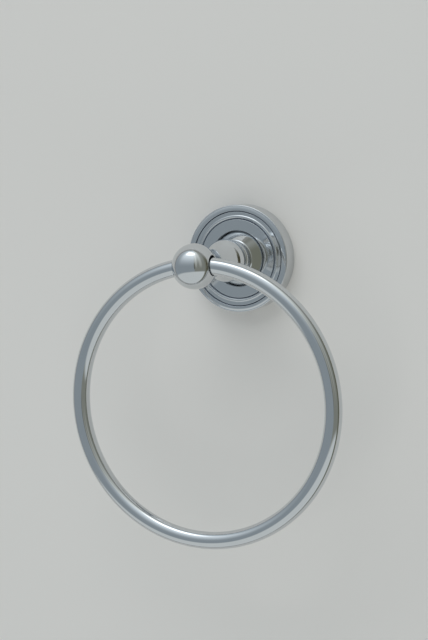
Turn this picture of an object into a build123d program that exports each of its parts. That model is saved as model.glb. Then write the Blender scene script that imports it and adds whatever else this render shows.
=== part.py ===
from build123d import *
from math import asin, degrees, radians, sqrt, tan
import os

os.makedirs("parts", exist_ok=True)

# A towel ring for a wall. The wall is the plane Y = 0, the part stands out towards -Y and +Z is up.
# The origin is on the wall, on the axis of the post. All sizes are in millimetres.
# A height is measured out from the wall, and a radius from the axis of the post.

# Ring: a round rod bent to a circle, with both ends in the ball
ring_radius = 75.25
rod_radius = 4.75
ring_seat_gap = 0.3
ring_end_play = 0.7

# Ball at the front of the post, with a drilled socket on each side
ball_radius = 12.5
ball_height = 67.9
socket_radius = 5.5
socket_floor = 5.5
socket_lip_round = 0.4
drill_point_angle = 118

# Flange: outer form and the rings on its face
flange_radius = 30.3
face_height = 10.5
flange_wall = 2.4
face_wall = 2.1
edge_bead_radius = 0.6
edge_bead_rise = 0.15
edge_crease_width = 0.9
roll_rise = 0.45
outer_groove_inset = 3.6
inner_groove_inset = 7.9
groove_width = 0.7
groove_depth = 0.6
face_bead_width = 1.8
face_bead_rise = 0.4
casting_round = 0.8

# Well in the face of the flange, with the floor that carries the post
well_gap = 0.6
well_depth = 4.1
well_lip_round = 0.4
well_floor_round = 0.6
well_wall = 2.0
floor_thickness = 2.0

# Post between the floor of the well and the ball
cone_base_radius = 15.2
cone_base_sink = 0.75
cone_top_radius = 11.15
cone_top_height = 15.5
cone_top_round = 0.4
cone_foot_chamfer = 0.4
lower_groove_radius = 9.9
lower_groove_height = 16.4
bead_radius = 10.5
upper_groove_radius = 9.2
upper_groove_height = 20.5
bulge_radius = 12.0
bulge_height = 26.5
bulge_start_radius = 10.2
bulge_undercut = 2.9
bulge_share = 0.22
neck_radius = 5.8
neck_height = 47.0
neck_round = 1.5

# Square spigot that stops the post from turning, and the screw and washer that hold it
spigot_side = 7.0
spigot_setback = 0.2
spigot_gap = 0.1
post_screw_radius = 2.5
post_screw_length = 16.0
post_screw_head_radius = 4.75
post_screw_head_flat = 2.4
post_screw_head_height = 2.75
post_screw_socket = 3.0
post_screw_socket_depth = 1.6
washer_radius = 7.5
washer_thickness = 1.2
thread_gap = 0.1
tapped_hole_runout = 1.5

# Wall bracket: a plate with a raised rim, undercut like a dovetail
bracket_side_gap = 2.9
bracket_undercut = 2.6
bracket_rim_height = 5.6
bracket_back_height = 0.8
bracket_plate = 3.0
bracket_rim_gap = 0.8
bracket_opening_gap = 0.8
wall_hole_spacing = 28.0
wall_hole_radius = 2.25
wall_countersink_radius = 4.0
wall_countersink_angle = 90

# Hook inside the top of the flange, boss inside its underside and the grub screw there
hook_gap = 0.3
hook_back_height = 0.8
hook_height = 2.6
hook_angle = 50
boss_thickness = 1.7
boss_angle = 20
grub_radius = 2.0
grub_height = 3.4
grub_recess = 0.5
grub_tip_gap = 0.3
grub_tip_angle = 90
grub_socket = 2.0
grub_socket_depth = 2.0

# Places that follow from the sizes above
well_radius = cone_base_radius + well_gap
floor_height = face_height - well_depth
floor_back_height = floor_height - floor_thickness
cone_base_height = face_height - cone_base_sink
well_outer_radius = well_radius + well_wall
flange_inner_radius = flange_radius - flange_wall
outer_groove_radius = flange_radius - outer_groove_inset
inner_groove_radius = flange_radius - inner_groove_inset
boss_radius = flange_inner_radius - boss_thickness
bracket_radius = flange_inner_radius - bracket_side_gap
bracket_back_radius = bracket_radius - bracket_undercut
face_back_height = face_height - face_wall
socket_mouth = sqrt(ball_radius**2 - socket_radius**2)
washer_back_height = floor_back_height - washer_thickness
post_screw_tip_height = washer_back_height + post_screw_length
spigot_end_height = floor_back_height + spigot_setback
undercut_slope = bracket_undercut / (bracket_rim_height - bracket_back_height)


def at(radius, height):
    """Point of a half section that is drawn in the XY plane and turned about Y."""
    return (radius, -height)


def turned(edges, angle=360):
    """Solid made by turning a closed half section about the axis of the post."""
    return revolve(make_face(Curve() + edges), Axis.Y, angle)


def round_bar(radius, low, high):
    """Round bar along the axis of the post between two heights."""
    bar = Cylinder(radius, high - low, align=(Align.CENTER, Align.CENTER, Align.MIN))
    return Pos(0, -low, 0) * Rot(90, 0, 0) * bar


def facing_up(sector, angle):
    """Turn a sector that starts at +X until its middle points up."""
    return Rot(0, -90 - angle / 2, 0) * sector


def facing_down(sector, angle):
    """Turn a sector that starts at +X until its middle points down."""
    return Rot(0, 90 - angle / 2, 0) * sector


def bracket_edge_radius(height):
    """Radius of the bracket's undercut edge at a height."""
    return bracket_back_radius + undercut_slope * (height - bracket_back_height)


def hex_recess(across_flats, depth):
    """Hexagonal recess that starts at the XY plane and goes along +Z."""
    return extrude(RegularPolygon(across_flats / 2, 6, major_radius=False), depth)


def face_rings():
    """Edges of the flange's face, from the side wall in to the lip of the well."""
    half_groove = groove_width / 2
    bead_outer = inner_groove_radius + half_groove + face_bead_width
    edge_start = face_height + edge_bead_rise - edge_bead_radius
    past_crest = edge_crease_width - edge_bead_radius
    crease_height = edge_start + sqrt(edge_bead_radius**2 - past_crest**2)
    crease = at(flange_radius - edge_crease_width, crease_height)
    edge_crest = at(flange_radius - edge_bead_radius, face_height + edge_bead_rise)
    side = Line(at(flange_radius, 0), at(flange_radius, edge_start))
    edge_bead = ThreePointArc(side @ 1, edge_crest, crease)
    roll_end = outer_groove_radius + half_groove
    roll_middle = (flange_radius - edge_crease_width + roll_end) / 2
    roll = ThreePointArc(crease, at(roll_middle, face_height + roll_rise), at(roll_end, face_height))
    outer_groove = Polyline(
        at(roll_end, face_height),
        at(outer_groove_radius, face_height - groove_depth),
        at(outer_groove_radius - half_groove, face_height),
    )
    band = Line(outer_groove @ 1, at(bead_outer, face_height))
    bead_crest = at(bead_outer - face_bead_width / 2, face_height + face_bead_rise)
    bead = ThreePointArc(band @ 1, bead_crest, at(inner_groove_radius + half_groove, face_height))
    inner_groove = Polyline(
        bead @ 1,
        at(inner_groove_radius, face_height - groove_depth),
        at(inner_groove_radius - half_groove, face_height),
    )
    disc = Line(inner_groove @ 1, at(well_radius + well_lip_round, face_height))
    return [side, edge_bead, roll, outer_groove, band, bead, inner_groove, disc]


def make_flange():
    """Hollow flange with its face rings, the well, the hook and the boss for the grub screw."""
    rings = face_rings()
    lip = RadiusArc(rings[-1] @ 1, at(well_radius, face_height - well_lip_round), well_lip_round)
    well = FilletPolyline(
        lip @ 1,
        at(well_radius, floor_height),
        at(0, floor_height),
        radius=well_floor_round,
    )
    inside = FilletPolyline(
        at(0, floor_back_height),
        at(well_outer_radius, floor_back_height),
        at(well_outer_radius, face_back_height),
        at(flange_inner_radius, face_back_height),
        at(flange_inner_radius, 0),
        radius=casting_round,
    )
    middle = Line(well @ 1, inside @ 0)
    rim = Line(inside @ 1, rings[0] @ 0)
    flange = turned(rings + [lip, well, middle, inside, rim])

    in_wall = flange_inner_radius + flange_wall / 2
    hook_section = Polyline(
        at(bracket_edge_radius(hook_back_height) + hook_gap, hook_back_height),
        at(bracket_edge_radius(hook_height) + hook_gap, hook_height),
        at(in_wall, hook_height),
        at(in_wall, hook_back_height),
        close=True,
    )
    boss_section = Polyline(
        at(boss_radius, 0),
        at(boss_radius, face_back_height + face_wall / 2),
        at(in_wall, face_back_height + face_wall / 2),
        at(in_wall, 0),
        close=True,
    )
    flange += facing_up(turned([hook_section], hook_angle), hook_angle)
    flange += facing_down(turned([boss_section], boss_angle), boss_angle)

    spigot_hole_side = spigot_side + 2 * spigot_gap
    floor_middle = (floor_height + floor_back_height) / 2
    flange -= Pos(0, -floor_middle, 0) * Box(spigot_hole_side, 2 * floor_thickness, spigot_hole_side)
    grub_hole = Cylinder(
        grub_radius + thread_gap,
        flange_radius,
        align=(Align.CENTER, Align.CENTER, Align.MAX),
    )
    return flange - Pos(0, -grub_height, -bracket_radius) * grub_hole


def post_edges():
    """Half section of the post, from its foot out to the front of the ball."""
    fillet_middle = neck_radius + neck_round
    fillet_drop = sqrt((ball_radius + neck_round) ** 2 - fillet_middle**2)
    fillet_start = ball_height - fillet_drop
    ball_share = ball_radius / (ball_radius + neck_round)
    bead_height = (lower_groove_height + upper_groove_height) / 2
    foot = Polyline(
        at(0, floor_height),
        at(cone_base_radius - cone_foot_chamfer, floor_height),
        at(cone_base_radius, floor_height + cone_foot_chamfer),
        at(cone_base_radius, cone_base_height),
        at(cone_top_radius, cone_top_height - cone_top_round),
        at(cone_top_radius - cone_top_round, cone_top_height),
        at((cone_top_radius + lower_groove_radius) / 2, cone_top_height),
        at(lower_groove_radius, lower_groove_height),
    )
    bead = ThreePointArc(
        foot @ 1,
        at(bead_radius, bead_height),
        at(upper_groove_radius, upper_groove_height),
    )
    bulge_start = at(bulge_start_radius, bulge_height - bulge_undercut)
    undercut = TangentArc(at(bulge_radius, bulge_height), bulge_start, tangent=(0, 1))
    step = Line(bead @ 1, bulge_start)
    turn_radius = bulge_radius - bulge_share * (bulge_radius - neck_radius)
    turn_height = bulge_height + bulge_share * (neck_height - bulge_height)
    taper = TangentArc(undercut @ 0, at(turn_radius, turn_height), tangent=(0, -1))
    waist = TangentArc(taper @ 1, at(neck_radius, neck_height), tangent=taper % 1)
    neck = Line(waist @ 1, at(neck_radius, fillet_start))
    fillet_end = at(fillet_middle * ball_share, ball_height - fillet_drop * ball_share)
    neck_fillet = TangentArc(neck @ 1, fillet_end, tangent=(0, -1))
    ball = ThreePointArc(neck_fillet @ 1, at(ball_radius, ball_height), at(0, ball_height + ball_radius))
    axis = Line(ball @ 1, foot @ 0)
    return [foot, bead, step, undercut, taper, waist, neck, neck_fillet, ball, axis]


def socket():
    """Drilled socket with a rounded lip for one end of the ring, along +X from the middle of the ball."""
    point_length = socket_radius / tan(radians(drill_point_angle / 2))
    lip_middle_radius = socket_radius + socket_lip_round
    inner_ball_radius = ball_radius - socket_lip_round
    lip_start = sqrt(inner_ball_radius**2 - lip_middle_radius**2)
    lip_end_radius = lip_middle_radius * ball_radius / inner_ball_radius
    bore = Polyline(
        (socket_floor - point_length, 0),
        (socket_floor, socket_radius),
        (lip_start, socket_radius),
    )
    lip_end = (lip_start * ball_radius / inner_ball_radius, lip_end_radius)
    lip = TangentArc(bore @ 1, lip_end, tangent=(1, 0))
    outside = Polyline(lip @ 1, (ball_radius, lip_end_radius), (ball_radius, 0), bore @ 0)
    return Pos(0, -ball_height, 0) * revolve(make_face(Curve() + [bore, lip, outside]), Axis.X)


def make_post():
    """Turned post with its square spigot, tapped hole and the two sockets in the ball."""
    post = turned(post_edges())
    spigot_middle = (spigot_end_height + floor_height) / 2
    spigot_length = floor_height - spigot_end_height
    post += Pos(0, -spigot_middle, 0) * Box(spigot_side, spigot_length, spigot_side)
    hole_end = post_screw_tip_height + tapped_hole_runout
    post -= round_bar(post_screw_radius + thread_gap, spigot_end_height, hole_end)
    one_socket = socket()
    return post - one_socket - mirror(one_socket, Plane.YZ)


def make_ring():
    """Open ring that hangs with its rod just above the lower lips of the sockets."""
    sag_at_mouth = ring_radius - sqrt(ring_radius**2 - socket_mouth**2)
    lift = sag_at_mouth - (socket_radius - rod_radius - ring_seat_gap)
    end_angle = degrees(asin((socket_floor + ring_end_play) / ring_radius))
    rod = Pos(ring_radius, 0) * Circle(rod_radius)
    ring = revolve(rod, Axis.Y, 360 - 2 * end_angle)
    return Pos(0, -ball_height, lift - ring_radius) * Rot(0, -90 + end_angle, 0) * ring


def make_wall_bracket():
    """Plate with an undercut rim, an opening for the post screw and two countersunk holes."""
    opening = washer_radius + bracket_opening_gap
    rim_inner = well_outer_radius + bracket_rim_gap
    section = Polyline(
        at(opening, 0),
        at(bracket_back_radius, 0),
        at(bracket_back_radius, bracket_back_height),
        at(bracket_radius, bracket_rim_height),
        at(rim_inner, bracket_rim_height),
        at(rim_inner, bracket_plate),
        at(opening, bracket_plate),
        close=True,
    )
    bracket = turned([section])
    half_angle = radians(wall_countersink_angle / 2)
    countersink_depth = (wall_countersink_radius - wall_hole_radius) / tan(half_angle)
    for side in (-1, 1):
        hole = round_bar(wall_hole_radius, 0, bracket_plate)
        sink = Cone(
            wall_hole_radius,
            wall_countersink_radius,
            countersink_depth,
            align=(Align.CENTER, Align.CENTER, Align.MAX),
        )
        hole += Pos(0, -bracket_plate, 0) * Rot(90, 0, 0) * sink
        bracket -= Pos(side * wall_hole_spacing / 2, 0, 0) * hole
    return bracket


def make_post_screw():
    """Button-headed screw that goes through the floor of the flange into the post."""
    head_back = washer_back_height - post_screw_head_height
    shank = Polyline(
        at(0, head_back),
        at(0, post_screw_tip_height),
        at(post_screw_radius, post_screw_tip_height),
        at(post_screw_radius, washer_back_height),
        at(post_screw_head_radius, washer_back_height),
    )
    dome = TangentArc(shank @ 1, at(post_screw_head_flat, head_back), tangent=(0, 1))
    flat = Line(dome @ 1, shank @ 0)
    key = Pos(0, -head_back, 0) * Rot(90, 0, 0) * hex_recess(post_screw_socket, post_screw_socket_depth)
    return turned([shank, dome, flat]) - key


def make_post_washer():
    """Flat washer between the screw head and the floor of the flange."""
    hole = round_bar(post_screw_radius + thread_gap, washer_back_height, floor_back_height)
    return round_bar(washer_radius, washer_back_height, floor_back_height) - hole


def make_grub_screw():
    """Headless screw that points up from the underside of the flange at the bracket's edge."""
    tip = -bracket_edge_radius(grub_height) - grub_tip_gap
    outer_end = grub_recess - flange_radius
    tip_length = grub_radius / tan(radians(grub_tip_angle / 2))
    body_length = tip - tip_length - outer_end
    body = Cylinder(grub_radius, body_length, align=(Align.CENTER, Align.CENTER, Align.MIN))
    point = Cone(grub_radius, 0, tip_length, align=(Align.CENTER, Align.CENTER, Align.MIN))
    screw = body + Pos(0, 0, body_length) * point - hex_recess(grub_socket, grub_socket_depth)
    return Pos(0, -grub_height, outer_end) * screw


pieces = {
    "flange": make_flange(),
    "post": make_post(),
    "towel_ring": make_ring(),
    "wall_bracket": make_wall_bracket(),
    "post_screw": make_post_screw(),
    "post_washer": make_post_washer(),
    "grub_screw": make_grub_screw(),
}
for name, piece in pieces.items():
    export_step(piece, f"parts/{name}.step")
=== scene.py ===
"""Towel ring for a wall: finely turned chrome pieces, their finishes, the wall, the light and the camera."""
import math

import bmesh
import bpy
from bpy.props import FloatProperty, FloatVectorProperty, PointerProperty
from mathutils import Matrix, Vector


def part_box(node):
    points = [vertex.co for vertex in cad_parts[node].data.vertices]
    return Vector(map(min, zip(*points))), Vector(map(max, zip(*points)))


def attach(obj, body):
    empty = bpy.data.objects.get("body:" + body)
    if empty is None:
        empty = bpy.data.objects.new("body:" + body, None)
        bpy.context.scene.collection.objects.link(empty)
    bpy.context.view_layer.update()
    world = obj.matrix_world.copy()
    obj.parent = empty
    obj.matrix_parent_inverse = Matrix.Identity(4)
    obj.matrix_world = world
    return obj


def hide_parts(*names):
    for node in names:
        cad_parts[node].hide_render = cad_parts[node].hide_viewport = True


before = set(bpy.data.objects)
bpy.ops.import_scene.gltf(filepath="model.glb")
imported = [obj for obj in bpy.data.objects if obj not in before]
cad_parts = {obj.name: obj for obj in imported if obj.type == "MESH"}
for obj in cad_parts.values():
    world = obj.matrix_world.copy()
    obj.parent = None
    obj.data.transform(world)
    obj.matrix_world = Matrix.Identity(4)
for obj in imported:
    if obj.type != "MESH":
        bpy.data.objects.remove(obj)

bl_info = {
    "name": "Towel ring",
    "version": (1, 0, 0),
    "blender": (4, 5, 0),
    "location": "View3D > Sidebar > Towel ring",
    "description": "Makes the flange, post and ring of a towel ring, their finishes and a stage",
    "category": "Object",
}

# The wall is the plane Y = 0, the part stands out towards -Y and +Z is up.
# A height is measured out from the wall, and a radius from the axis of the post.
MM = 0.001
FULL_TURN = 2 * math.pi
QUARTER_TURN = math.pi / 2
POST_AXIS = Vector((0, 1, 0))
SOCKET_AXIS = Vector((1, 0, 0))
SECTION_AXIS = Vector((0, 0, 1))
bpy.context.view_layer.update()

# Fineness of the turned meshes
TURN_STEPS = 224
RING_STEPS = 320
ROD_SIDES = 64
HOLE_SIDES = 48
WALL_SIDES = 96
ARC_STEP = math.radians(4)
COARSE_STEP = 3 * ARC_STEP
FINE_STEP = ARC_STEP / 2
FINEST_STEP = ARC_STEP / 4
FEWEST_STEPS = 3
ROUND_SEGMENTS = 4
GUARD = 0.08 * MM
SHARP_ANGLE = math.radians(32)
MERGE_DISTANCE = 0.0005 * MM
OVERLAP = 0.6 * MM
FILLET_SINK = 0.02 * MM
BOX_SLACK = 0.05 * MM

# Noise scales of the chrome, in patches to the metre
CLOUD_SCALE = 60
SMUDGE_SCALE = 210
DULL_GRAIN_SCALE = 900
TURNED_LINE_SCALE = 5200
ROD_LINE_SCALE = 4200

# Roughness of the chrome: what the polish leaves, what smudges and lines add, and the dull parts (dull
# plating, and painted shade in grooves and creases)
POLISHED = 0.035
SMUDGED = 0.035
LINED = 0.02
UNPOLISHED = 0.34

# The room is drawn by angles to the right of straight ahead, and by heights from -1 to 1
DEGREE = math.radians(1)

# Width of the camera's frame in millimetres, and the nearest and farthest distance that it sees
CAMERA_FRAME = 36
CAMERA_CLIP = (0.02, 50)


def length(label, description, millimetres):
    """Property for a length, given in millimetres and kept in metres."""
    return FloatProperty(
        name=label,
        description=description,
        default=millimetres * MM,
        unit="LENGTH",
        subtype="DISTANCE",
        precision=5,
    )


def tint(label, description, colour):
    """Property for a linear colour."""
    return FloatVectorProperty(
        name=label,
        description=description,
        default=colour,
        size=3,
        min=0,
        max=1,
        subtype="COLOR",
    )


def share(label, description, value):
    """Property for a plain number without a unit."""
    return FloatProperty(name=label, description=description, default=value, precision=4)


def wattage(label, description, watts):
    """Property for the power of a lamp."""
    return FloatProperty(name=label, description=description, default=watts, unit="POWER")


def turn_angle(label, description, degrees):
    """Property for an angle, given in degrees and kept in radians."""
    return FloatProperty(
        name=label,
        description=description,
        default=math.radians(degrees),
        unit="ROTATION",
        subtype="ANGLE",
    )


def position(label, description, millimetres):
    """Property for a place, given in millimetres and kept in metres."""
    return FloatVectorProperty(
        name=label,
        description=description,
        default=[value * MM for value in millimetres],
        size=3,
        unit="LENGTH",
        subtype="TRANSLATION",
    )


class FlangeSizes(bpy.types.PropertyGroup):
    """Sizes of the hollow flange that stands on the wall."""

    radius: length("Radius", "Outside radius of the flange", 30.3)
    face_height: length("Face height", "Height of the flat face over the wall", 10.5)
    wall: length("Side wall", "Thickness of the side wall", 2.4)
    face_wall: length("Face wall", "Thickness behind the face", 2.1)
    edge_bead_radius: length("Edge bead radius", "Radius of the bead round the outer edge", 0.6)
    edge_bead_rise: length("Edge bead rise", "Height of the edge bead over the face", 0.15)
    edge_crease_width: length("Edge crease width", "Distance of the crease from the outer edge", 0.9)
    roll_rise: length("Roll rise", "Height of the broad roll over the face", 0.45)
    outer_groove_inset: length("Outer groove inset", "Distance of the outer groove from the edge", 3.6)
    inner_groove_inset: length("Inner groove inset", "Distance of the inner groove from the edge", 7.9)
    groove_width: length("Groove width", "Width of both grooves", 0.7)
    groove_depth: length("Groove depth", "Depth of both grooves", 0.6)
    groove_round: length("Groove round", "Polished round on the edges of the grooves", 0.1)
    bead_width: length("Bead width", "Width of the bead inside the band", 1.8)
    bead_rise: length("Bead rise", "Height of the bead over the face", 0.4)
    casting_round: length("Casting round", "Round in the corners of the hollow back", 0.8)
    well_radius: length("Well radius", "Radius of the well round the foot of the post", 15.8)
    well_depth: length("Well depth", "Depth of the well below the face", 4.1)
    well_lip_round: length("Well lip round", "Round on the lip of the well", 0.4)
    well_floor_round: length("Well floor round", "Round in the corner of the well's floor", 0.6)
    well_wall: length("Well wall", "Thickness of the wall of the well", 2.0)
    floor_thickness: length("Floor thickness", "Thickness of the floor that carries the post", 2.0)
    spigot_hole: length("Spigot hole", "Side of the square hole for the post's spigot", 7.2)
    hook_low_radius: length("Hook low radius", "Radius of the hook's face at its back", 22.7)
    hook_high_radius: length("Hook high radius", "Radius of the hook's face at its front", 23.675)
    hook_low: length("Hook back height", "Height of the back of the hook", 0.8)
    hook_high: length("Hook front height", "Height of the front of the hook", 2.6)
    hook_angle: turn_angle("Hook angle", "Angle that the hook takes up inside the top", 50)
    boss_radius: length("Boss radius", "Radius of the face of the boss below", 26.2)
    boss_angle: turn_angle("Boss angle", "Angle that the boss takes up inside the underside", 20)
    grub_hole_radius: length("Grub hole radius", "Radius of the tapped hole in the underside", 2.1)
    grub_height: length("Grub hole height", "Height of the tapped hole over the wall", 3.4)


class PostSizes(bpy.types.PropertyGroup):
    """Sizes of the turned post and of the ball at its front."""

    cone_base_radius: length("Cone base radius", "Radius of the cone at its foot", 15.2)
    cone_base_sink: length("Cone base sink", "Depth of the cone's foot below the face of the flange", 0.75)
    cone_top_radius: length("Cone top radius", "Radius of the cone at its top", 11.15)
    cone_top_height: length("Cone top height", "Height of the cone's top over the wall", 15.5)
    cone_top_round: length("Cone top round", "Round on the cone's top edge", 0.4)
    cone_foot_round: length("Cone foot round", "Broken edge at the cone's foot", 0.4)
    lower_groove_radius: length("Lower groove radius", "Radius of the crease over the cone", 9.9)
    lower_groove_height: length("Lower groove height", "Height of the crease over the cone", 16.4)
    bead_radius: length("Bead radius", "Radius of the bead over the cone", 10.5)
    upper_groove_radius: length("Upper groove radius", "Radius of the crease under the bulge", 9.2)
    upper_groove_height: length("Upper groove height", "Height of the crease under the bulge", 20.5)
    bulge_radius: length("Bulge radius", "Largest radius of the bulge", 12.0)
    bulge_height: length("Bulge height", "Height at which the bulge is largest", 26.5)
    bulge_start_radius: length("Bulge start radius", "Radius at which the bulge starts", 10.2)
    bulge_undercut: length("Bulge undercut", "Height from the bulge's start to its largest radius", 2.9)
    bulge_share: share("Bulge share", "Share of the taper that curves outwards", 0.22)
    neck_radius: length("Neck radius", "Radius of the neck behind the ball", 5.8)
    neck_height: length("Neck height", "Height at which the neck starts", 47.0)
    neck_round: length("Neck round", "Round between the neck and the ball", 1.5)
    crease_round: length("Crease round", "Polished round on the small edges", 0.08)
    ball_radius: length("Ball radius", "Radius of the ball", 12.5)
    ball_height: length("Ball height", "Height of the ball's middle over the wall", 67.9)
    socket_radius: length("Socket radius", "Radius of the two drilled sockets", 5.5)
    socket_floor: length("Socket floor", "Distance from the ball's middle to the socket's floor", 5.5)
    socket_lip_round: length("Socket lip round", "Round on the lips of the sockets", 0.4)
    drill_point_angle: turn_angle("Drill point", "Angle of the drill's point", 118)
    spigot_side: length("Spigot side", "Side of the square spigot", 7.0)
    spigot_end_height: length("Spigot end height", "Height of the spigot's end over the wall", 4.6)
    screw_hole_radius: length("Screw hole radius", "Radius of the tapped hole", 2.6)
    screw_hole_end: length("Screw hole end", "Height of the end of the tapped hole", 20.7)


class RingSizes(bpy.types.PropertyGroup):
    """Sizes of the ring that hangs in the ball."""

    radius: length("Radius", "Radius of the ring at the middle of its rod", 75.25)
    rod_radius: length("Rod radius", "Radius of the rod", 4.75)
    seat_gap: length("Seat gap", "Gap over the lower lips of the sockets", 0.3)
    end_play: length("End play", "Gap between each end and its socket's floor", 0.7)
    end_round: length("End round", "Broken edge on the cut ends", 0.3)


class FinishColours(bpy.types.PropertyGroup):
    """Colours of the finishes and of the wall."""

    chrome: tint("Chrome", "Bright plating", (0.67, 0.69, 0.705))
    chrome_shade: tint("Chrome shade", "Plating where it is a little thicker", (0.63, 0.652, 0.672))
    # Dark bluish plating: dull plating where the polishing wheel can't reach, and also painted shade in the
    # flange's grooves and the post's creases
    dull_and_shade: tint("Dull plating", "Plating that the polishing wheel can't reach", (0.23, 0.27, 0.34))
    zinc: tint("Zinc", "Cast wall bracket", (0.46, 0.47, 0.48))
    zinc_shade: tint("Zinc shade", "Darker skin of the casting", (0.3, 0.31, 0.32))
    plated: tint("Plated steel", "Screw and washer", (0.6, 0.61, 0.6))
    plated_shade: tint("Plated steel shade", "Yellowish film on the screw and washer", (0.55, 0.52, 0.42))
    black: tint("Blackened steel", "Grub screw", (0.05, 0.05, 0.055))
    black_shade: tint("Blackened steel shade", "Worn edges of the grub screw", (0.2, 0.19, 0.185))
    wall: tint("Wall", "Painted wall", (0.775, 0.755, 0.73))


class RoomColours(bpy.types.PropertyGroup):
    """Light that the room sends from each side, which the chrome mirrors."""

    left: tint("Left", "Cool grey of the room in front and to the left", (0.302, 0.344, 0.372))
    right: tint("Right", "Warm grey of the room to the right", (0.25, 0.26, 0.23))
    pale: tint("Pale uprights", "Pale upright stripes on the right", (0.62, 0.64, 0.6))
    edge: tint("Edge", "Dark upright edges in the room", (0.2, 0.207, 0.165))
    corner: tint("Corner", "Dark brown corner beside the wall", (0.06, 0.052, 0.03))
    ground: tint("Ground", "Pale floor of the room", (0.645, 0.678, 0.678))
    behind: tint("Behind", "Pale wall that carries the part, past its round piece", (0.5, 0.51, 0.5))
    glow: tint("Glow", "Light that grows towards the ceiling", (0.9, 0.96, 1.0))
    glow_level: share("Glow level", "Strength of the light towards the ceiling", 1.1)
    ceiling: tint("Ceiling light", "Soft patch of light on the ceiling", (1.0, 1.0, 1.0))


class StageSizes(bpy.types.PropertyGroup):
    """Camera, wall and lamps."""

    camera_azimuth: turn_angle("Camera azimuth", "Camera to the right of the wall's normal", 24.752)
    camera_elevation: turn_angle("Camera elevation", "Camera over the horizon", 4.3)
    camera_roll: turn_angle("Camera roll", "Turn of the camera about its own line of sight", -4.088)
    camera_distance: length("Camera distance", "Distance of the camera from the point it looks at", 1324.95)
    camera_target: position("Camera target", "Point that the camera looks at", (-19.94, -4.52, -34.69))
    lens: FloatProperty(
        name="Lens",
        description="Focal length on a frame of 36 mm",
        default=130.74,
        unit="CAMERA",
    )
    wall_radius: length("Wall radius", "Radius of the round piece of wall", 480)
    wall_opening: length("Wall opening", "Radius of the opening behind the flange", 28.6)
    lamp_aim: position("Lamp aim", "Point that both lamps shine at", (0, 0, -50))
    lamp_place: position("Lamp place", "Middle of the soft lamp overhead", (-200, -1500, 1900))
    lamp_width: length("Lamp width", "Width of the soft lamp overhead", 2000)
    lamp_depth: length("Lamp depth", "Depth of the soft lamp overhead", 1500)
    lamp_power: wattage("Lamp power", "Power of the soft lamp overhead", 12)
    lamp_tint: tint("Lamp tint", "Colour of the soft lamp overhead", (1.0, 0.99, 0.97))
    fill_place: position("Fill place", "Middle of the soft fill light in front", (300, -2200, -600))
    fill_width: length("Fill width", "Width of the soft fill light in front", 1600)
    fill_depth: length("Fill depth", "Depth of the soft fill light in front", 1400)
    fill_power: wattage("Fill power", "Power of the soft fill light in front", 6)
    fill_tint: tint("Fill tint", "Colour of the soft fill light in front", (1.0, 0.98, 0.95))


def at(radius, height):
    """Point of a half section in the XY plane, which is turned about the axis of the post."""
    return Vector((radius, -height))


def turn_between(first, second):
    """Signed angle from one direction in the XY plane to another."""
    return math.atan2(first.cross(second), first.dot(second))


def spin(mesh, geom, axis, angle, steps, centre=(0, 0, 0), merge=False):
    """Turn a part of a mesh about an axis, and leave behind what it sweeps over."""
    return bmesh.ops.spin(
        mesh,
        geom=geom,
        cent=centre,
        axis=axis,
        dvec=(0, 0, 0),
        angle=angle,
        steps=steps,
        use_merge=merge,
        use_duplicate=False,
    )


def round_off(mesh, geom, size, affect):
    """Round off some corners or edges of a mesh."""
    bmesh.ops.bevel(
        mesh,
        geom=geom,
        offset=size,
        offset_type="OFFSET",
        segments=ROUND_SEGMENTS,
        profile=0.5,
        affect=affect,
        material=-1,
    )


class Section:
    """Chain of points in the XY plane that is drawn with its end point, as a tool's path is."""

    def __init__(self, mesh, start):
        self.mesh = mesh
        self.tip = mesh.verts.new(Vector(start).to_3d())
        self.first = self.tip
        self.heading = None
        self.corners = {}

    def line(self, *points):
        """Straight lines on to one point after another."""
        for point in points:
            self.heading = Vector(point) - self.tip.co.xy
            self.tip = bmesh.ops.extrude_vert_indiv(self.mesh, verts=[self.tip])["verts"][0]
            self.tip.co.xy = point

    def corner(self, point, size):
        """Straight line on to a corner that is rounded off later."""
        self.line(point)
        self.round_here(size)

    def round_here(self, size):
        """Mark the present end point as a corner that is rounded off later."""
        self.corners.setdefault(size, []).append(self.tip)

    def sweep(self, end, angle, arc_step=ARC_STEP):
        """Arc on to a point, which turns the heading by an angle."""
        start = self.tip.co.xy
        chord = Vector(end) - start
        centre = start + chord / 2 + chord.orthogonal() / (2 * math.tan(angle / 2))
        steps = max(FEWEST_STEPS, math.ceil(abs(angle) / arc_step))
        made = spin(self.mesh, [self.tip], SECTION_AXIS, angle, steps, centre.to_3d())
        self.tip = made["geom_last"][0]
        self.heading = Matrix.Rotation(angle / 2, 2) @ chord

    def arc_through(self, middle, end, arc_step=ARC_STEP):
        """Arc on to a point by way of another."""
        first = Vector(middle) - self.tip.co.xy
        second = Vector(end) - Vector(middle)
        self.sweep(end, 2 * turn_between(first, second), arc_step)

    def arc_on(self, end, arc_step=ARC_STEP):
        """Arc on to a point that leaves along the present heading."""
        chord = Vector(end) - self.tip.co.xy
        self.sweep(end, 2 * turn_between(self.heading, chord), arc_step)

    def close(self):
        """Join the end to the start."""
        self.mesh.edges.new((self.tip, self.first))

    def finish(self):
        """Round the marked corners, and set a guard point near each end of the straight runs."""
        for size, corners in self.corners.items():
            round_off(self.mesh, corners, size, "VERTICES")
        for edge in list(self.mesh.edges):
            if edge.calc_length() > 4 * GUARD:
                near, far = edge.verts
                guard = bmesh.utils.edge_split(edge, near, GUARD / edge.calc_length())[1]
                run = next(link for link in far.link_edges if guard in link.verts)
                bmesh.utils.edge_split(run, far, GUARD / run.calc_length())


def turned(mesh, axis, centre=(0, 0, 0), steps=TURN_STEPS):
    """Turn the drawn section all the way round, and close its seam and its poles."""
    spin(mesh, mesh.verts[:] + mesh.edges[:], axis, FULL_TURN, steps, centre, merge=True)
    close_mesh(mesh)
    return mesh


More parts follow.
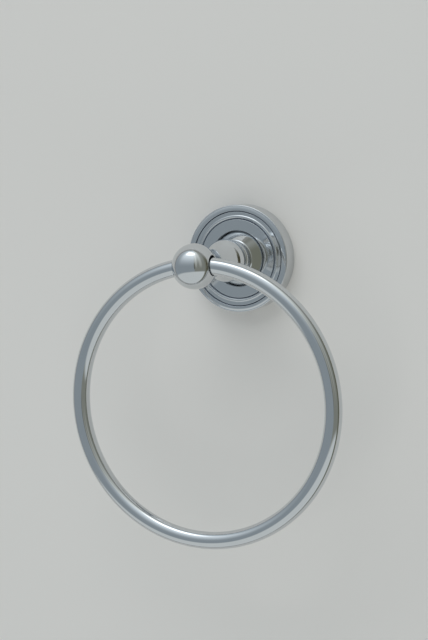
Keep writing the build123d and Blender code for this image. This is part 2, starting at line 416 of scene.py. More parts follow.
def close_mesh(mesh):
    """Merge the doubles and point the faces outwards."""
    bmesh.ops.remove_doubles(mesh, verts=mesh.verts[:], dist=MERGE_DISTANCE)
    bmesh.ops.recalc_face_normals(mesh, faces=mesh.faces[:])


def sector(points, angle, middle):
    """Ring segment with a section of a few points, whose middle lies at an angle from +X about the post."""
    mesh = bmesh.new()
    face = mesh.faces.new([mesh.verts.new(point.to_3d()) for point in points])
    spin(mesh, [face, *face.edges, *face.verts], POST_AXIS, angle, math.ceil(angle / ARC_STEP))
    start = Matrix.Rotation(middle - angle / 2, 3, POST_AXIS)
    bmesh.ops.rotate(mesh, verts=mesh.verts[:], cent=(0, 0, 0), matrix=start)
    close_mesh(mesh)
    return mesh


def bar(radius, start, end):
    """Round bar between two points."""
    run = Vector(end) - Vector(start)
    place = Matrix.Translation(Vector(start) + run / 2) @ run.to_track_quat("Z", "Y").to_matrix().to_4x4()
    mesh = bmesh.new()
    bmesh.ops.create_cone(
        mesh,
        cap_ends=True,
        cap_tris=False,
        segments=HOLE_SIDES,
        radius1=radius,
        radius2=radius,
        depth=run.length,
        matrix=place,
    )
    return mesh


def square_bar(side, low, high):
    """Square bar along the axis of the post between two heights."""
    mesh = bmesh.new()
    place = Matrix.Translation((0, -(low + high) / 2, 0)) @ Matrix.Diagonal((side, high - low, side, 1))
    bmesh.ops.create_cube(mesh, size=1, matrix=place)
    return mesh


def as_object(name, mesh):
    """Object at the origin that holds a finished bmesh."""
    data = bpy.data.meshes.new(name)
    mesh.to_mesh(data)
    mesh.free()
    made = bpy.data.objects.new(name, data)
    bpy.context.scene.collection.objects.link(made)
    return made


def combine(piece, tool_mesh, operation):
    """Join a shape to a piece or cut it away, and keep the result as the piece's mesh."""
    tool = as_object("tool", tool_mesh)
    step = piece.modifiers.new("Tool", "BOOLEAN")
    step.object = tool
    step.operation = operation
    step.solver = "EXACT"
    graph = bpy.context.evaluated_depsgraph_get()
    result = bpy.data.meshes.new_from_object(piece.evaluated_get(graph))
    piece.modifiers.clear()
    old = piece.data
    piece.data = result
    bpy.data.meshes.remove(old)
    tool_data = tool.data
    bpy.data.objects.remove(tool)
    bpy.data.meshes.remove(tool_data)


def finish_piece(piece, node, body, material):
    """Shade a piece, check that it fills the box of its solid, give it its material, hang it under its body
    and hide its solid.
    """
    mesh = bmesh.new()
    mesh.from_mesh(piece.data)
    close_mesh(mesh)
    open_edges = sum(1 for edge in mesh.edges if len(edge.link_faces) != 2)
    mesh.to_mesh(piece.data)
    mesh.free()
    if open_edges:
        raise RuntimeError(f"{piece.name} has {open_edges} open edges")
    piece.data.shade_smooth()
    piece.data.set_sharp_from_angle(angle=SHARP_ANGLE)
    piece.data.name = piece.name
    corners = [Vector(corner) for corner in piece.bound_box]
    for axis, (low, high) in enumerate(zip(*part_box(node))):
        values = [corner[axis] for corner in corners]
        if abs(min(values) - low) > BOX_SLACK or abs(max(values) - high) > BOX_SLACK:
            raise RuntimeError(f"{piece.name} runs from {min(values)} to {max(values)}, not {low} to {high}")
    piece.data.materials.clear()
    piece.data.materials.append(material)
    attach(piece, body)
    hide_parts(node)


class Wire:
    """Output of a node. A sum on it adds the Math node that works it out."""

    def __init__(self, shading, socket):
        self.shading = shading
        self.socket = socket

    def maths(self, operation, first, second):
        """Math node on two values."""
        return self.shading.node(
            "ShaderNodeMath", {"operation": operation}, {"Value": first, "Value_001": second}
        )["Value"]

    def __add__(self, other):
        return self.maths("ADD", self, other)

    def __radd__(self, other):
        return self.maths("ADD", other, self)

    def __sub__(self, other):
        return self.maths("SUBTRACT", self, other)

    def __rsub__(self, other):
        return self.maths("SUBTRACT", other, self)

    def __mul__(self, other):
        return self.maths("MULTIPLY", self, other)

    def __rmul__(self, other):
        return self.maths("MULTIPLY", other, self)

    def __truediv__(self, other):
        return self.maths("DIVIDE", self, other)

    def __rtruediv__(self, other):
        return self.maths("DIVIDE", other, self)

    def __gt__(self, other):
        return self.maths("GREATER_THAN", self, other)

    def __lt__(self, other):
        return self.maths("LESS_THAN", self, other)


class Shading:
    """Node tree of one finish, built up node by node."""

    def __init__(self, tree):
        self.tree = tree
        tree.nodes.clear()

    def node(self, kind, settings, sockets):
        """Add a node, set its settings, then its sockets, and return its outputs by their identifiers."""
        made = self.tree.nodes.new(kind)
        for key, value in settings.items():
            setattr(made, key, value)
        inputs = {socket.identifier: socket for socket in made.inputs}
        for key, value in sockets.items():
            if isinstance(value, Wire):
                self.tree.links.new(value.socket, inputs[key])
            else:
                inputs[key].default_value = value
        return {socket.identifier: Wire(self, socket) for socket in made.outputs}

    def place(self, centre=(0, 0, 0)):
        """Object coordinates, measured from a centre."""
        coordinates = self.node("ShaderNodeTexCoord", {}, {})["Object"]
        return self.vector("SUBTRACT", coordinates, centre)

    def vector(self, operation, first, second):
        """Vector Math node with a vector as its result."""
        sockets = {"Vector": first, "Vector_001": second}
        return self.node("ShaderNodeVectorMath", {"operation": operation}, sockets)["Vector"]

    def parts(self, vector):
        """The three numbers of a vector."""
        split = self.node("ShaderNodeSeparateXYZ", {}, {"Vector": vector})
        return split["X"], split["Y"], split["Z"]

    def joined(self, x, y, z):
        """Vector of three numbers."""
        return self.node("ShaderNodeCombineXYZ", {}, {"X": x, "Y": y, "Z": z})["Vector"]

    def away(self, first, second):
        """Distance of a point from the axis across which two numbers are measured."""
        return self.node(
            "ShaderNodeVectorMath", {"operation": "LENGTH"}, {"Vector": self.joined(first, second, 0)}
        )["Value"]

    def direction(self, first, second):
        """Angle of a point about the axis across which two numbers are measured."""
        return first.maths("ARCTAN2", first, second)

    def noise(self, vector, scale, detail=2.0):
        """Soft noise between 0 and 1."""
        sockets = {"Vector": vector, "Scale": scale, "Detail": detail, "Roughness": 0.5}
        return self.node("ShaderNodeTexNoise", {}, sockets)["Fac"]

    def ramp(self, value, low, high, low_result=0.0, high_result=1.0):
        """Smooth step of a value between two limits."""
        sockets = {
            "Value": value,
            "From Min": low,
            "From Max": high,
            "To Min": low_result,
            "To Max": high_result,
        }
        return self.node("ShaderNodeMapRange", {"interpolation_type": "SMOOTHSTEP"}, sockets)["Result"]

    def mix(self, factor, first, second):
        """Colour between two others."""
        sockets = {
            "Factor_Float": factor,
            "A_Color": first if isinstance(first, Wire) else (*first, 1),
            "B_Color": second if isinstance(second, Wire) else (*second, 1),
        }
        return self.node("ShaderNodeMix", {"data_type": "RGBA"}, sockets)["Result_Color"]

    def band(self, value, low, high, soft):
        """Soft band of a value between two limits."""
        return self.ramp(value, low - soft, low) * self.ramp(value, high + soft, high)

    def bump(self, height, distance, strength):
        """Normal of a surface with a fine relief."""
        sockets = {"Height": height, "Distance": distance, "Strength": strength}
        return self.node("ShaderNodeBump", {}, sockets)["Normal"]

    def surface(self, sockets):
        """Principled surface on the output."""
        shader = self.node("ShaderNodeBsdfPrincipled", {}, sockets)["BSDF"]
        self.node("ShaderNodeOutputMaterial", {}, {"Surface": shader})


def new_material(name):
    """Empty material and its node tree."""
    material = bpy.data.materials.new(name)
    material.use_nodes = True
    return material, Shading(material.node_tree)


def chrome_surface(shading, colours, place, lines, dull_and_shade):
    """Bright plating with faint polishing lines and wiping marks, and a dark dull part: dull plating where
    the wheel can't reach, painted shade in grooves and creases.
    """
    cloud = shading.noise(place, CLOUD_SCALE)
    smudge = shading.ramp(shading.noise(place, SMUDGE_SCALE, detail=4.0), 0.45, 0.75)
    bright = shading.mix(cloud, colours.chrome, colours.chrome_shade)
    polished = POLISHED + SMUDGED * smudge + LINED * lines
    relief = lines + 3.0 * dull_and_shade * shading.noise(place, DULL_GRAIN_SCALE, detail=3.0)
    shading.surface({
        # Painted shade: the dark dull colour also darkens the grooves and creases that the masks pick out
        "Base Color": shading.mix(dull_and_shade, bright, colours.dull_and_shade),
        "Metallic": 1.0,
        "Roughness": polished + dull_and_shade * (UNPOLISHED - polished),
        "Normal": shading.bump(relief, distance=0.004 * MM, strength=0.25),
    })


def flange_chrome(colours, sizes):
    """Chrome of the flange: lines run round the post's axis, the hollow back is dull, and the grooves are
    darkened with painted shade.
    """
    material, shading = new_material("flange_chrome")
    place = shading.place()
    x, y, z = shading.parts(place)
    radius = shading.away(x, z)
    height = 0 - y
    lines = shading.noise(shading.joined(radius, height, 0), TURNED_LINE_SCALE)
    face = sizes.face_height
    floor = face - sizes.well_depth
    well_back = sizes.well_radius + sizes.well_wall / 2
    behind_face = (height < face - sizes.face_wall / 2) * (radius < sizes.radius - sizes.wall / 2)
    in_well = (radius < well_back) * (height > floor - sizes.floor_thickness / 2)
    dull_and_shade = behind_face * (1 - in_well)
    reach = sizes.groove_width / 2
    deep = shading.ramp(height, face - 0.1 * MM, face - 0.4 * MM)
    # Painted shade: the grooves below the face take the dark dull colour
    for inset in (sizes.outer_groove_inset, sizes.inner_groove_inset):
        middle = sizes.radius - inset
        dull_and_shade = dull_and_shade + shading.band(radius, middle - reach, middle + reach, soft=0.02 * MM) * deep
    chrome_surface(shading, colours, place, lines, dull_and_shade)
    return material


def post_chrome(colours, sizes):
    """Chrome of the post: lines run round its axis, the sockets are dull, and the creases are darkened with
    painted shade.
    """
    material, shading = new_material("post_chrome")
    place = shading.place()
    x, y, z = shading.parts(place)
    radius = shading.away(x, z)
    height = 0 - y
    lines = shading.noise(shading.joined(radius, height, 0), TURNED_LINE_SCALE)
    slack = 0.1 * MM
    over_ball = height - sizes.ball_height
    inside_ball = shading.away(radius, over_ball) < sizes.ball_radius - 2 * sizes.socket_lip_round
    in_socket = inside_ball * (shading.away(z, over_ball) < sizes.socket_radius + slack)
    bulge_start = sizes.bulge_height - sizes.bulge_undercut
    soft = 0.3 * MM
    # Painted shade: the creases on both sides of the bead take the dark dull colour
    lower_crease_shade = shading.band(height, sizes.cone_top_height, sizes.lower_groove_height, soft)
    upper_crease_shade = shading.band(height, sizes.upper_groove_height, bulge_start, soft)
    crease_shade = (lower_crease_shade + upper_crease_shade) * (radius < sizes.bulge_start_radius + slack)
    chrome_surface(shading, colours, place, lines, 0.9 * in_socket + 0.8 * crease_shade)
    return material


def ring_chrome(colours, centre, ring_radius):
    """Chrome of the ring: faint lines run along the rod."""
    material, shading = new_material("ring_chrome")
    place = shading.place(centre)
    x, y, z = shading.parts(place)
    out = shading.away(x, z) - ring_radius
    along = shading.direction(z, x)
    drawn_out = 0.002 * along
    lines = shading.noise(shading.joined(out, y, drawn_out), ROD_LINE_SCALE)
    chrome_surface(shading, colours, place, lines, dull_and_shade=0.0)
    return material


def zinc_casting(colours):
    """Cast zinc with a mottled, slightly pitted skin."""
    material, shading = new_material("zinc_casting")
    place = shading.place()
    mottle = shading.ramp(shading.noise(place, scale=260, detail=4.0), 0.3, 0.7)
    grain = shading.noise(place, scale=2600, detail=3.0)
    pits = shading.ramp(shading.noise(place, scale=800), 0.62, 0.7)
    shading.surface({
        "Base Color": shading.mix(0.7 * mottle + 0.3 * pits, colours.zinc, colours.zinc_shade),
        "Metallic": 1.0,
        "Roughness": 0.42 + 0.16 * mottle + 0.1 * pits,
        "Normal": shading.bump(grain - 1.5 * pits, distance=0.03 * MM, strength=0.5),
    })
    return material


def plated_steel(colours):
    """Zinc-plated steel with turning marks and a yellowish film."""
    material, shading = new_material("plated_steel")
    place = shading.place()
    x, y, z = shading.parts(place)
    rounds = shading.noise(shading.joined(shading.away(x, z), y, 0), scale=3800, detail=3.0)
    film = shading.ramp(shading.noise(place, scale=330, detail=3.0), 0.35, 0.75)
    shading.surface({
        "Base Color": shading.mix(0.6 * film, colours.plated, colours.plated_shade),
        "Metallic": 1.0,
        "Roughness": 0.26 + 0.12 * film + 0.08 * rounds,
        "Normal": shading.bump(rounds, distance=0.02 * MM, strength=0.5),
    })
    return material


def blackened_steel(colours, tip_height):
    """Blackened steel, worn to bare metal in small spots and at its outer end."""
    material, shading = new_material("blackened_steel")
    place = shading.place()
    z = shading.parts(place)[2]
    worn = shading.ramp(shading.noise(place, scale=1400, detail=3.0), 0.55, 0.72)
    end = shading.ramp(z, tip_height + 0.5 * MM, tip_height)
    grain = shading.noise(place, scale=3000)
    shading.surface({
        "Base Color": shading.mix(0.5 * worn + 0.35 * end * worn, colours.black, colours.black_shade),
        "Metallic": 1.0,
        "Roughness": 0.46 - 0.12 * worn,
        "Normal": shading.bump(grain, distance=0.01 * MM, strength=0.4),
    })
    return material


def painted_wall(colours):
    """Matt wall paint, with a fine roller texture, that can be looked through from behind."""
    material, shading = new_material("painted_wall")
    place = shading.place()
    patches = shading.noise(place, scale=3.0)
    roller = shading.noise(place, scale=420, detail=3.0)
    wall = Vector(colours.wall)
    uneven = 0.015
    paint = shading.node("ShaderNodeBsdfPrincipled", {}, {
        "Base Color": shading.mix(patches, wall * (1 - uneven), wall * (1 + uneven)),
        "Roughness": 0.6,
        "Specular IOR Level": 0.2,
        "Normal": shading.bump(roller, distance=0.05 * MM, strength=0.15),
    })["BSDF"]
    clear = shading.node("ShaderNodeBsdfTransparent", {}, {})["BSDF"]
    behind = shading.node("ShaderNodeNewGeometry", {}, {})["Backfacing"]
    both = shading.node("ShaderNodeMixShader", {}, {"Fac": behind, "Shader": paint, "Shader_001": clear})
    shading.node("ShaderNodeOutputMaterial", {}, {"Surface": both["Shader"]})
    return material


def room_walls(shading, colours, side, z):
    """Walls in front: cool on the left, warm with pale uprights on the right, with a pale floor below."""
    walls = shading.mix(shading.ramp(side, 20 * DEGREE, 28 * DEGREE), colours.left, colours.right)
    near_upright = shading.band(side, 31 * DEGREE, 36 * DEGREE, soft=4 * DEGREE)
    far_upright = shading.band(side, 53 * DEGREE, 60 * DEGREE, soft=6 * DEGREE)
    over_floor = shading.ramp(z, -0.2, 0.2)
    walls = shading.mix(0.4 * (near_upright + far_upright) * over_floor, walls, colours.pale)
    dark_upright = shading.band(side, 23.5 * DEGREE, 26 * DEGREE, soft=1.5 * DEGREE)
    dark_upright = dark_upright * shading.band(z, -0.1, 0.25, soft=0.15)
    walls = shading.mix(0.85 * dark_upright, walls, colours.corner)
    return shading.mix(shading.ramp(z, -0.34, -0.46), walls, colours.ground)


def room_ceiling(shading, colours, direction, side):
    """Light from above: a glow that grows with the height and fades at both sides, and a soft oval patch."""
    x, y, z = direction
    right_fade = shading.ramp(side, 25 * DEGREE, 80 * DEGREE, 1.0, 0.12)
    left_fade = shading.ramp(side, -45 * DEGREE, -75 * DEGREE, 1.0, 0.3)
    top_fade = shading.ramp(z, 0.95, 1.0, 1.0, 0.4)
    upper_half = z > 0
    rise = colours.glow_level * z * z * upper_half * right_fade * left_fade * top_fade
    patch_x, patch_y = -0.06, -0.37
    half_width, half_depth = 0.31, 0.14
    from_patch = shading.away((x - patch_x) / half_width, (y - patch_y) / half_depth)
    patch = shading.ramp(from_patch, 1.3, 0.7) * upper_half
    glow = shading.mix(rise, (0, 0, 0), colours.glow)
    return shading.vector("ADD", glow, shading.mix(patch, (0, 0, 0), colours.ceiling))


def room_light(shading, colours):
    """Room by direction: the walls and the ceiling in front, the part's own wall behind, and its corner."""
    direction = shading.parts(shading.node("ShaderNodeTexCoord", {}, {})["Generated"])
    x, y, z = direction
    side = shading.direction(x, 0 - y)
    walls = room_walls(shading, colours, side, z)
    light = shading.vector("ADD", walls, room_ceiling(shading, colours, direction, side))
    light = shading.mix(shading.ramp(y, -0.03, 0.03), light, colours.behind)
    far_edge = shading.band(side, 82 * DEGREE, 100 * DEGREE, soft=5 * DEGREE)
    light = shading.mix(far_edge * shading.ramp(z, 0.85, 0.4), light, colours.edge)
    beside = shading.band(z, -0.2, 0.15, soft=0.3) * (x > 0)
    corner = shading.band(y, -0.03, 0.05, soft=0.04) * (0.35 + 0.55 * beside)
    light = shading.mix(corner, light, colours.corner)
    glow = shading.node("ShaderNodeBackground", {}, {"Color": light, "Strength": 1.0})["Background"]
    shading.node("ShaderNodeOutputWorld", {}, {"Surface": glow})


def flange_section(mesh, sizes):
    """Half section of the flange: side wall, face rings, well, floor and hollow back."""
    half_groove = sizes.groove_width / 2
    face = sizes.face_height
    floor = face - sizes.well_depth
    floor_back = floor - sizes.floor_thickness
    face_back = face - sizes.face_wall
    inner = sizes.radius - sizes.wall
    well_outer = sizes.well_radius + sizes.well_wall
    outer_groove = sizes.radius - sizes.outer_groove_inset
    inner_groove = sizes.radius - sizes.inner_groove_inset
    bead_outer = inner_groove + half_groove + sizes.bead_width
    crest = face + sizes.edge_bead_rise
    edge_start = crest - sizes.edge_bead_radius
    past_crest = sizes.edge_crease_width - sizes.edge_bead_radius
    crease_height = edge_start + math.sqrt(sizes.edge_bead_radius**2 - past_crest**2)
    crease = sizes.radius - sizes.edge_crease_width
    roll_end = outer_groove + half_groove
    edge_round = sizes.groove_round
    roll_chord = at(roll_end - crease, face + sizes.roll_rise - crease_height)

    path = Section(mesh, at(sizes.radius, 0))
    path.line(at(sizes.radius, edge_start))
    edge_crest = at(sizes.radius - sizes.edge_bead_radius, crest)
    path.arc_through(edge_crest, at(crease, crease_height), COARSE_STEP)
    path.sweep(at(roll_end, face + sizes.roll_rise), 2 * turn_between(roll_chord, at(-1, 0)))
    path.round_here(edge_round)
    path.corner(at(outer_groove, face - sizes.groove_depth), edge_round)
    path.corner(at(outer_groove - half_groove, face), edge_round)
    path.line(at(bead_outer, face))
    bead_middle = bead_outer - sizes.bead_width / 2
    path.arc_through(at(bead_middle, face + sizes.bead_rise), at(inner_groove + half_groove, face))
    path.round_here(edge_round)
    path.corner(at(inner_groove, face - sizes.groove_depth), edge_round)
    path.corner(at(inner_groove - half_groove, face), edge_round)
    path.corner(at(sizes.well_radius, face), sizes.well_lip_round)
    path.corner(at(sizes.well_radius, floor), sizes.well_floor_round)
    path.line(at(0, floor), at(0, floor_back))
    path.corner(at(well_outer, floor_back), sizes.casting_round)
    path.corner(at(well_outer, face_back), sizes.casting_round)
    path.corner(at(inner, face_back), sizes.casting_round)
    path.line(at(inner, 0))
    path.close()
    path.finish()


def stem_section(mesh, sizes, face, floor):
    """Half section of the post from its foot to the neck, which ends inside the ball."""
    bead_height = (sizes.lower_groove_height + sizes.upper_groove_height) / 2
    path = Section(mesh, at(0, floor))
    path.line(at(sizes.cone_base_radius - sizes.cone_foot_round, floor))
    path.line(at(sizes.cone_base_radius, floor + sizes.cone_foot_round))
    path.line(at(sizes.cone_base_radius, face - sizes.cone_base_sink))
    path.line(at(sizes.cone_top_radius, sizes.cone_top_height - sizes.cone_top_round))
    path.arc_on(at(sizes.cone_top_radius - sizes.cone_top_round, sizes.cone_top_height), COARSE_STEP)
    path.line(at((sizes.cone_top_radius + sizes.lower_groove_radius) / 2, sizes.cone_top_height))
    path.corner(at(sizes.lower_groove_radius, sizes.lower_groove_height), sizes.crease_round)
    path.arc_through(
        at(sizes.bead_radius, bead_height),
        at(sizes.upper_groove_radius, sizes.upper_groove_height),
    )
    path.round_here(sizes.crease_round)
    start = at(sizes.bulge_start_radius, sizes.bulge_height - sizes.bulge_undercut)
    rim = at(sizes.bulge_radius, sizes.bulge_height)
    path.corner(start, sizes.crease_round)
    path.sweep(rim, 2 * turn_between(rim - start, at(0, 1)))
    turn_radius = sizes.bulge_radius - sizes.bulge_share * (sizes.bulge_radius - sizes.neck_radius)
    turn_height = sizes.bulge_height + sizes.bulge_share * (sizes.neck_height - sizes.bulge_height)
    path.arc_on(at(turn_radius, turn_height), FINE_STEP)
    path.arc_on(at(sizes.neck_radius, sizes.neck_height), FINEST_STEP)

    fillet_middle = sizes.neck_radius + sizes.neck_round
    fillet_drop = math.sqrt((sizes.ball_radius + sizes.neck_round) ** 2 - fillet_middle**2)
    ball_share = sizes.ball_radius / (sizes.ball_radius + sizes.neck_round)
    path.line(at(sizes.neck_radius, sizes.ball_height - fillet_drop))
    fillet_height = sizes.ball_height - fillet_drop * ball_share
    path.arc_on(at(fillet_middle * ball_share, fillet_height + FILLET_SINK))
    inside_ball = fillet_height + 2 * OVERLAP
    path.line(at(sizes.neck_radius, inside_ball), at(0, inside_ball))
    path.close()
    path.finish()


def ball_section(mesh, sizes):
    """Half section of the ball along the axis of its two sockets."""
    point_length = sizes.socket_radius / math.tan(sizes.drill_point_angle / 2)
    lip_radius = sizes.socket_radius + sizes.socket_lip_round
    inner_ball = sizes.ball_radius - sizes.socket_lip_round
    lip_start = math.sqrt(inner_ball**2 - lip_radius**2)
    grow = sizes.ball_radius / inner_ball

    def beside(x, radius):
        """Point beside the ball's middle, at a radius from the axis of the sockets."""
        return Vector((x, -sizes.ball_height - radius))

    path = Section(mesh, beside(sizes.socket_floor - point_length, 0))
    path.line(beside(sizes.socket_floor, sizes.socket_radius), beside(lip_start, sizes.socket_radius))
    path.arc_on(beside(lip_start * grow, lip_radius * grow), COARSE_STEP)
    path.arc_through(beside(0, sizes.ball_radius), beside(-lip_start * grow, lip_radius * grow), FINE_STEP)
    path.arc_on(beside(-lip_start, sizes.socket_radius), COARSE_STEP)
    path.line(
        beside(-sizes.socket_floor, sizes.socket_radius),
        beside(point_length - sizes.socket_floor, 0),
    )
    path.finish()


class TOWELRING_OT_flange(bpy.types.Operator):
    """Make the hollow flange with its face rings, its well, and the hook and boss at its back"""

    bl_idname = "towelring.flange"
    bl_label = "Flange"
    bl_options = {"REGISTER", "UNDO"}

    def execute(self, context):
        sizes = context.scene.towelring_flange
        mesh = bmesh.new()
        flange_section(mesh, sizes)
        flange = as_object("chrome_flange", turned(mesh, POST_AXIS))

        in_wall = sizes.radius - sizes.wall / 2
        in_face = sizes.face_height - sizes.face_wall / 2
        hook = (
            at(sizes.hook_low_radius, sizes.hook_low),
            at(sizes.hook_high_radius, sizes.hook_high),
            at(in_wall, sizes.hook_high),
            at(in_wall, sizes.hook_low),
        )
        boss = (
            at(sizes.boss_radius, 0),
            at(sizes.boss_radius, in_face),
            at(in_wall, in_face),
            at(in_wall, 0),
        )
        combine(flange, sector(hook, sizes.hook_angle, -QUARTER_TURN), "UNION")
        combine(flange, sector(boss, sizes.boss_angle, QUARTER_TURN), "UNION")

        floor = sizes.face_height - sizes.well_depth
        hole = square_bar(sizes.spigot_hole, floor - sizes.floor_thickness - OVERLAP, floor + OVERLAP)
        combine(flange, hole, "DIFFERENCE")
        grub_start = (0, -sizes.grub_height, OVERLAP - sizes.boss_radius)
        grub_end = (0, -sizes.grub_height, -sizes.radius - OVERLAP)
        combine(flange, bar(sizes.grub_hole_radius, grub_start, grub_end), "DIFFERENCE")
        material = flange_chrome(context.scene.towelring_colours, sizes)
        finish_piece(flange, "flange", "fixture", material)
        return {"FINISHED"}


class TOWELRING_OT_post(bpy.types.Operator):
    """Make the turned post with its ball, the two drilled sockets, the spigot and the tapped hole"""

    bl_idname = "towelring.post"
    bl_label = "Post"
    bl_options = {"REGISTER", "UNDO"}

    def execute(self, context):
        sizes = context.scene.towelring_post
        flange = context.scene.towelring_flange
        floor = flange.face_height - flange.well_depth
        ball = bmesh.new()
        ball_section(ball, sizes)
        turned(ball, SOCKET_AXIS, (0, -sizes.ball_height, 0))
        post = as_object("chrome_post", ball)
        stem = bmesh.new()
        stem_section(stem, sizes, flange.face_height, floor)
        combine(post, turned(stem, POST_AXIS), "UNION")
        combine(post, square_bar(sizes.spigot_side, sizes.spigot_end_height, floor + OVERLAP), "UNION")
        hole_start = (0, OVERLAP - sizes.spigot_end_height, 0)
        hole_end = (0, -sizes.screw_hole_end, 0)
        combine(post, bar(sizes.screw_hole_radius, hole_start, hole_end), "DIFFERENCE")
        material = post_chrome(context.scene.towelring_colours, sizes)
        finish_piece(post, "post", "fixture", material)
        return {"FINISHED"}


class TOWELRING_OT_ring(bpy.types.Operator):
    """Bend the round rod to a ring whose two ends lie in the sockets of the ball"""

    bl_idname = "towelring.ring"
    bl_label = "Ring"
    bl_options = {"REGISTER", "UNDO"}

    def execute(self, context):
        sizes = context.scene.towelring_ring
        post = context.scene.towelring_post
        mouth = math.sqrt(post.ball_radius**2 - post.socket_radius**2)
        sag_at_mouth = sizes.radius - math.sqrt(sizes.radius**2 - mouth**2)
        lift = sag_at_mouth - (post.socket_radius - sizes.rod_radius - sizes.seat_gap)
        centre = Vector((0, -post.ball_height, lift - sizes.radius))
        end_angle = math.asin((post.socket_floor + sizes.end_play) / sizes.radius)

        mesh = bmesh.new()
        bmesh.ops.create_circle(
            mesh,
            cap_ends=True,
            cap_tris=False,
            segments=ROD_SIDES,
            radius=sizes.rod_radius,
            matrix=Matrix.Translation((sizes.radius, 0, 0)),
        )
        rod_section = mesh.verts[:] + mesh.edges[:] + mesh.faces[:]
        spin(mesh, rod_section, POST_AXIS, FULL_TURN - 2 * end_angle, RING_STEPS)
        cut_edges = [edge for face in mesh.faces if len(face.verts) == ROD_SIDES for edge in face.edges]
        round_off(mesh, cut_edges, sizes.end_round, "EDGES")
        to_top = Matrix.Rotation(end_angle - QUARTER_TURN, 3, POST_AXIS)
        bmesh.ops.rotate(mesh, verts=mesh.verts[:], cent=(0, 0, 0), matrix=to_top)
        bmesh.ops.translate(mesh, verts=mesh.verts[:], vec=centre)
        ring = as_object("chrome_ring", mesh)
        material = ring_chrome(context.scene.towelring_colours, centre, sizes.radius)
        finish_piece(ring, "towel_ring", "ring", material)
        return {"FINISHED"}


class TOWELRING_OT_fixings(bpy.types.Operator):
    """Give the hidden bracket, screws and washer their cast, plated and blackened finishes"""

    bl_idname = "towelring.fixings"
    bl_label = "Fixings"
    bl_options = {"REGISTER", "UNDO"}

    def execute(self, context):
        colours = context.scene.towelring_colours
        plated = plated_steel(colours)
        finishes = {
            "wall_bracket": zinc_casting(colours),
            "post_screw": plated,
            "post_washer": plated,
            "grub_screw": blackened_steel(colours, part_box("grub_screw")[0].z),
        }
        for node, material in finishes.items():
            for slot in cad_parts[node].material_slots:
                slot.material = material
        return {"FINISHED"}


def soft_lamp(name, size, place, aim, power, colour):
    """Rectangular soft light that points at a place, and that neither the camera nor the chrome sees."""
    data = bpy.data.lights.new(name, "AREA")
    data.shape = "RECTANGLE"
    data.size, data.size_y = size
    data.energy = power
    data.color = colour
    lamp = bpy.data.objects.new(name, data)
    lamp.location = place
    lamp.rotation_euler = (Vector(aim) - Vector(place)).to_track_quat("-Z", "Y").to_euler()
    lamp.visible_camera = False
    lamp.visible_glossy = False
    bpy.context.scene.collection.objects.link(lamp)


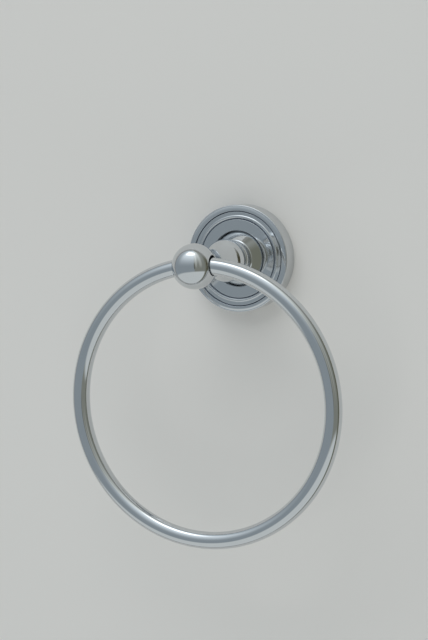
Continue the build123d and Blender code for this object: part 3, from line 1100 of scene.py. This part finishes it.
class TOWELRING_OT_stage(bpy.types.Operator):
    """Put up the wall, the light and the camera"""

    bl_idname = "towelring.stage"
    bl_label = "Stage"
    bl_options = {"REGISTER", "UNDO"}

    def execute(self, context):
        sizes = context.scene.towelring_stage
        colours = context.scene.towelring_colours
        self.make_wall(sizes, colours)
        self.make_light(context, sizes)
        self.make_camera(context, sizes)
        context.scene.view_settings.view_transform = "Standard"
        return {"FINISHED"}

    def make_wall(self, sizes, colours):
        """Round piece of wall with an opening behind the flange, which faces the room."""
        mesh = bmesh.new()
        bmesh.ops.create_circle(mesh, cap_ends=False, segments=WALL_SIDES, radius=sizes.wall_opening)
        made = bmesh.ops.extrude_edge_only(mesh, edges=mesh.edges[:])
        rim = [part for part in made["geom"] if isinstance(part, bmesh.types.BMVert)]
        grow = sizes.wall_radius / sizes.wall_opening
        bmesh.ops.scale(mesh, verts=rim, vec=(grow, grow, 1))
        upright = Matrix.Rotation(QUARTER_TURN, 3, "X")
        bmesh.ops.rotate(mesh, verts=mesh.verts[:], cent=(0, 0, 0), matrix=upright)
        bmesh.ops.recalc_face_normals(mesh, faces=mesh.faces[:])
        if sum(face.normal.y for face in mesh.faces) > 0:
            bmesh.ops.reverse_faces(mesh, faces=mesh.faces[:])
        wall = as_object("wall", mesh)
        wall.data.materials.append(painted_wall(colours))

    def make_light(self, context, sizes):
        """Two soft lamps, and the room that the chrome mirrors."""
        lamp_size = (sizes.lamp_width, sizes.lamp_depth)
        fill_size = (sizes.fill_width, sizes.fill_depth)
        soft_lamp("lamp", lamp_size, sizes.lamp_place, sizes.lamp_aim, sizes.lamp_power, sizes.lamp_tint)
        soft_lamp("fill", fill_size, sizes.fill_place, sizes.lamp_aim, sizes.fill_power, sizes.fill_tint)
        world = bpy.data.worlds.new("room")
        world.use_nodes = True
        context.scene.world = world
        room_light(Shading(world.node_tree), context.scene.towelring_room)

    def make_camera(self, context, sizes):
        """Camera at the photograph's angle, turned about its own line of sight."""
        azimuth, elevation = sizes.camera_azimuth, sizes.camera_elevation
        back = Vector((
            math.sin(azimuth) * math.cos(elevation),
            -math.cos(azimuth) * math.cos(elevation),
            math.sin(elevation),
        ))
        level = Vector((math.cos(azimuth), math.sin(azimuth), 0))
        upright = Matrix((level, back.cross(level), back)).transposed()
        turn = upright @ Matrix.Rotation(sizes.camera_roll, 3, "Z")
        data = bpy.data.cameras.new("camera")
        data.lens = sizes.lens
        data.sensor_width = CAMERA_FRAME
        data.clip_start, data.clip_end = CAMERA_CLIP
        camera = bpy.data.objects.new("camera", data)
        place = Vector(sizes.camera_target) + back * sizes.camera_distance
        camera.matrix_world = Matrix.Translation(place) @ turn.to_4x4()
        context.scene.collection.objects.link(camera)
        context.scene.camera = camera


STEPS = (
    TOWELRING_OT_flange,
    TOWELRING_OT_post,
    TOWELRING_OT_ring,
    TOWELRING_OT_fixings,
    TOWELRING_OT_stage,
)


class TOWELRING_PT_sidebar(bpy.types.Panel):
    """List of the steps that make the towel ring"""

    bl_idname = "TOWELRING_PT_sidebar"
    bl_label = "Towel ring"
    bl_space_type = "VIEW_3D"
    bl_region_type = "UI"
    bl_category = "Towel ring"

    def draw(self, context):
        for step in STEPS:
            self.layout.operator(step.bl_idname)


GROUPS = {
    "towelring_flange": FlangeSizes,
    "towelring_post": PostSizes,
    "towelring_ring": RingSizes,
    "towelring_colours": FinishColours,
    "towelring_room": RoomColours,
    "towelring_stage": StageSizes,
}


def register():
    """Register the groups of sizes and colours, the steps and the sidebar."""
    for name, group in GROUPS.items():
        bpy.utils.register_class(group)
        setattr(bpy.types.Scene, name, PointerProperty(type=group))
    for made in (*STEPS, TOWELRING_PT_sidebar):
        bpy.utils.register_class(made)


def unregister():
    """Take everything out again in the opposite order."""
    for made in (TOWELRING_PT_sidebar, *reversed(STEPS)):
        bpy.utils.unregister_class(made)
    for name, group in reversed(GROUPS.items()):
        delattr(bpy.types.Scene, name)
        bpy.utils.unregister_class(group)


def main():
    """Run every step in order."""
    register()
    bpy.ops.towelring.flange()
    bpy.ops.towelring.post()
    bpy.ops.towelring.ring()
    bpy.ops.towelring.fixings()
    bpy.ops.towelring.stage()
    bpy.context.view_layer.update()


if __name__ == "__main__":
    main()
